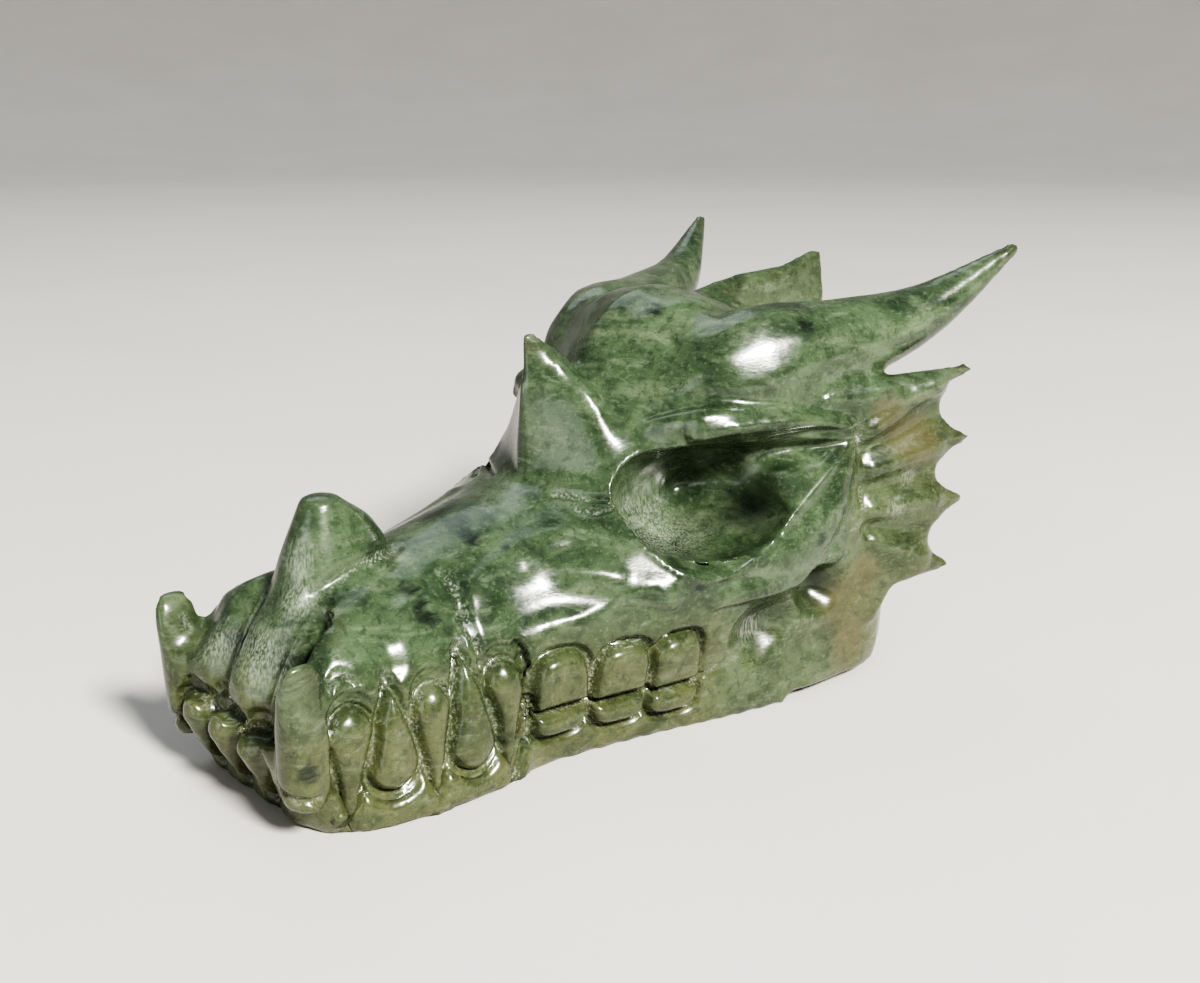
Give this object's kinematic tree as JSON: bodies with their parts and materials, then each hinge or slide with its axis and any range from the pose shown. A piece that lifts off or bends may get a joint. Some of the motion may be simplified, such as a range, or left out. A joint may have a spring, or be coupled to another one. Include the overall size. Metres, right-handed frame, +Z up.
{
  "type": "jade dragon skull carving",
  "caption": "Polished jade carving of a horned dragon skull with closed jaws, bared teeth, deep eye sockets, a crest and cheek frills, resting on its flat underside as an ornament.",
  "frame": {"origin": "under the middle of the carving's length, on the surface that it stands on", "axes": "+X from the snout to the horn tips, +Y to the carving's right side, +Z up"},
  "size_m": [0.1248, 0.0702, 0.0679],
  "materials": {
    "jade": "polished"
  },
  "bodies": {
    "root": {"dragon_skull": "jade"}
  },
  "joints": []
}
